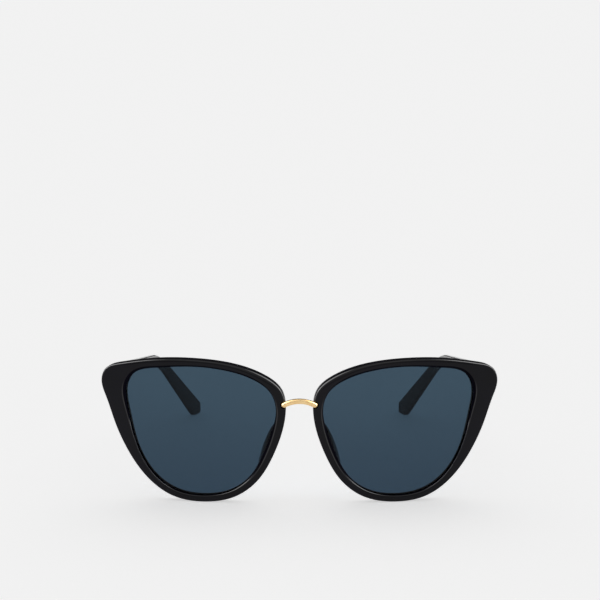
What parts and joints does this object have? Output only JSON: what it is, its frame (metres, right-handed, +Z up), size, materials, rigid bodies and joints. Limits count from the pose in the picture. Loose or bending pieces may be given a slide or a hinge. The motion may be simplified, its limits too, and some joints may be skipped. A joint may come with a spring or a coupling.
{
  "type": "cat eye sunglasses",
  "caption": "Cat eye sunglasses with two black plastic rims on a gold wire bridge, dark blue-grey lenses and folding temples with bent tips.",
  "frame": {"origin": "middle of the overall width and depth with the temples open, at the level of the rims' lowest points and the temple tips, which the part stands on", "axes": "+X towards the wearer's left, +Y from the front towards the temple tips, +Z up; the lenses face -Y"},
  "size_m": [0.1456, 0.1394, 0.0535],
  "materials": {
    "rim_plastic": "polished black",
    "temple_plastic": "polished black",
    "pad_plastic": "satin black",
    "lens_tint": "dark blue-grey tinted plastic lens",
    "bridge_gold": "gold plated, polished",
    "hinge_metal": "nickel silver, tumbled",
    "screw_steel": "plain steel",
    "core_steel": "plain wire"
  },
  "bodies": {
    "front": {"bridge": "bridge_gold", "rim_left": "rim_plastic", "rim_right": "rim_plastic", "lens_left": "lens_tint", "lens_right": "lens_tint", "nose_pad_left": "pad_plastic", "nose_pad_right": "pad_plastic", "hinge_front_leaf_left": "hinge_metal", "hinge_front_leaf_right": "hinge_metal", "hinge_front_leaf_screws_left": "screw_steel", "hinge_front_leaf_screws_right": "screw_steel", "hinge_screw_left": "screw_steel", "hinge_screw_right": "screw_steel"},
    "temple_left": {"temple_left": "temple_plastic", "temple_core_left": "core_steel", "hinge_temple_leaf_left": "hinge_metal", "hinge_temple_leaf_screws_left": "screw_steel"},
    "temple_right": {"temple_right": "temple_plastic", "temple_core_right": "core_steel", "hinge_temple_leaf_right": "hinge_metal", "hinge_temple_leaf_screws_right": "screw_steel"}
  },
  "joints": [
    {"name": "temple_left_fold", "type": "hinge", "parent": "front", "child": "temple_left", "pos_m": [0.0659, -0.0557, 0.0467], "axis": [0, 0, 1], "range_deg": [0, 81]},
    {"name": "temple_right_fold", "type": "hinge", "parent": "front", "child": "temple_right", "pos_m": [-0.0659, -0.0557, 0.0467], "axis": [0, 0, -1], "range_deg": [0, 77]}
  ]
}
